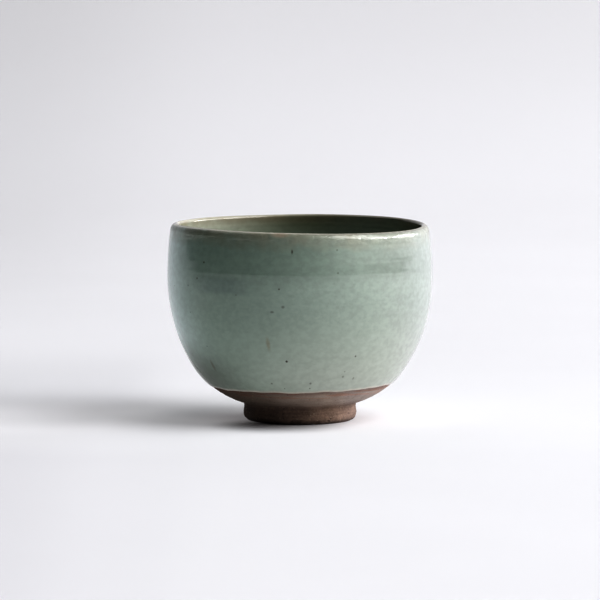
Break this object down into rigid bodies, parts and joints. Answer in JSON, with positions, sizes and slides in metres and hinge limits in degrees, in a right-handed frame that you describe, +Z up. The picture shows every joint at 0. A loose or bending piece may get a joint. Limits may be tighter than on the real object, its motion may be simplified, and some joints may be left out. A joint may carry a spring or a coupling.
{
  "type": "rice bowl",
  "caption": "Deep round stoneware rice bowl with a celadon glaze inside and out, a thin rounded lip, and a bare clay foot ring that it stands on.",
  "frame": {"origin": "centre of the circle on which the foot ring stands", "axes": "+Z up along the axis of the bowl, -Y towards the side that shows the tan streak in the glaze"},
  "size_m": [0.118, 0.118, 0.0877],
  "materials": {
    "bare_clay": "unglazed reddish brown stoneware, turned, rough and grainy",
    "celadon": "glossy grey-green celadon, thin and brownish on the lip, with small iron specks",
    "celadon_lining": "glossy grey-green celadon over fine throwing rings"
  },
  "bodies": {
    "root": {"clay_body": "bare_clay", "foot_ring": "bare_clay", "outside_glaze": "celadon", "inside_glaze": "celadon_lining"}
  },
  "joints": []
}
